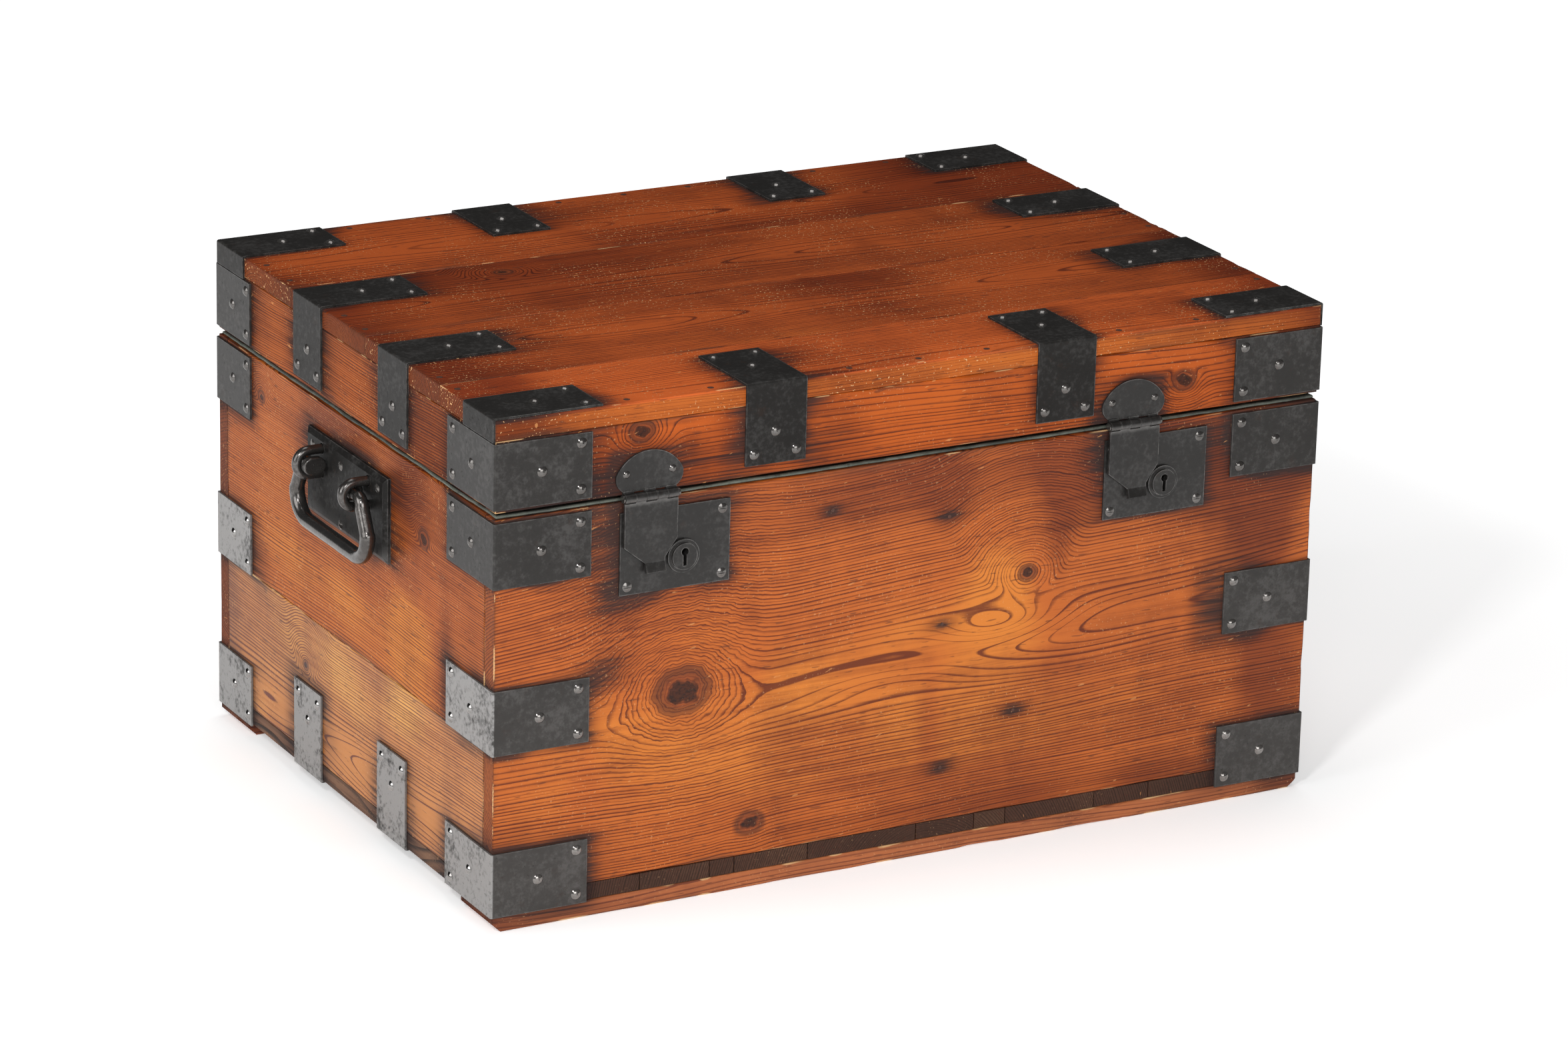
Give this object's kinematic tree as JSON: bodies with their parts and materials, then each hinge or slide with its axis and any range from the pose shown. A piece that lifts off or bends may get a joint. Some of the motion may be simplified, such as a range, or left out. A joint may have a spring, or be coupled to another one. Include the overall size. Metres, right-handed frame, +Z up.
{
  "type": "wooden chest",
  "caption": "Iron-bound pine travelling chest with a hinged lid, zinc liner, side bail handles and paired hasp locks.",
  "frame": {"origin": "middle of the chest's overall footprint, on the ground that its battens stand on", "axes": "+Z up; +X along the chest's length, to the right as seen from the front; the front with the locks faces -Y"},
  "size_m": [0.912, 0.615, 0.4784],
  "materials": {
    "shellacked_pine": "old shellac over knotty pine, satin gloss, stained dark round the ironwork",
    "lid_pine": "old shellac over pine, redder and more worn than the sides, satin",
    "floor_pine": "bare end grain, dark and dry",
    "batten_pine": "worn shellac, rough",
    "strap_iron": "blackened strap iron, satin, edges rubbed bright",
    "lock_iron": "blackened smooth iron, satin",
    "forged_iron": "forged iron, semi-gloss where handled",
    "rivet_iron": "domed heads, semi-gloss",
    "zinc": "dull zinc with grey-green patina"
  },
  "bodies": {
    "chest": {"floor_boards": "floor_pine", "front_batten": "batten_pine", "back_batten": "batten_pine", "front_board": "shellacked_pine", "back_board": "shellacked_pine", "left_board_lower": "shellacked_pine", "left_board_upper": "shellacked_pine", "right_board_lower": "shellacked_pine", "right_board_upper": "shellacked_pine", "zinc_liner": "zinc", "lower_corner_brackets": "strap_iron", "middle_corner_brackets": "strap_iron", "upper_corner_brackets": "strap_iron", "bottom_straps": "strap_iron", "hinge_leaf_left": "strap_iron", "hinge_leaf_right": "strap_iron", "hinge_pins": "strap_iron", "handle_plate_left": "forged_iron", "handle_plate_right": "forged_iron", "handle_eyes_left": "forged_iron", "handle_eyes_right": "forged_iron", "lock_plate_left": "lock_iron", "lock_plate_right": "lock_iron", "lock_case_left": "lock_iron", "lock_case_right": "lock_iron", "key_boss_left": "lock_iron", "key_boss_right": "lock_iron", "lock_springs": "lock_iron", "body_rivets": "rivet_iron", "body_nails": "rivet_iron", "batten_nails": "batten_pine", "handle_rivets": "rivet_iron", "lock_screws": "rivet_iron"},
    "lid": {"lid_front_rail": "shellacked_pine", "lid_back_rail": "shellacked_pine", "lid_left_rail": "shellacked_pine", "lid_right_rail": "shellacked_pine", "lid_plank_front": "lid_pine", "lid_plank_mid_front": "lid_pine", "lid_plank_mid_back": "lid_pine", "lid_plank_back": "lid_pine", "lid_corner_brackets": "strap_iron", "lid_corner_straps": "strap_iron", "lid_side_straps": "strap_iron", "lid_front_straps": "strap_iron", "hinge_strap_left": "strap_iron", "hinge_strap_right": "strap_iron", "hasp_plate_left": "lock_iron", "hasp_plate_right": "lock_iron", "hasp_pins": "lock_iron", "lid_rivets": "rivet_iron", "lid_nails": "rivet_iron"},
    "hasp_left": {"hasp_flap_left": "lock_iron", "hasp_staple_left": "lock_iron"},
    "hasp_right": {"hasp_flap_right": "lock_iron", "hasp_staple_right": "lock_iron"},
    "handle_left": {"bail_left": "forged_iron"},
    "handle_right": {"bail_right": "forged_iron"},
    "bolt_left": {"lock_bolt_left": "lock_iron"},
    "bolt_right": {"lock_bolt_right": "lock_iron"}
  },
  "joints": [
    {"name": "lid_hinge", "type": "hinge", "parent": "chest", "child": "lid", "pos_m": [0, 0.303, 0.387], "axis": [-1, 0, 0], "range_deg": [0, 175]},
    {"name": "hasp_left_hinge", "type": "hinge", "parent": "lid", "child": "hasp_left", "pos_m": [-0.272, -0.3025, 0.388], "axis": [-1, 0, 0], "range_deg": [0, 160]},
    {"name": "hasp_right_hinge", "type": "hinge", "parent": "lid", "child": "hasp_right", "pos_m": [0.22, -0.3025, 0.388], "axis": [-1, 0, 0], "range_deg": [0, 160]},
    {"name": "handle_left_swing", "type": "hinge", "parent": "chest", "child": "handle_left", "pos_m": [-0.4385, 0, 0.334], "axis": [0, 1, 0], "range_deg": [-2, 175]},
    {"name": "handle_right_swing", "type": "hinge", "parent": "chest", "child": "handle_right", "pos_m": [0.4385, 0, 0.334], "axis": [0, -1, 0], "range_deg": [-2, 175]},
    {"name": "bolt_left_slide", "type": "slide", "parent": "chest", "child": "bolt_left", "axis": [-1, 0, 0], "range_m": [0, 0.01]},
    {"name": "bolt_right_slide", "type": "slide", "parent": "chest", "child": "bolt_right", "axis": [-1, 0, 0], "range_m": [0, 0.01]}
  ]
}
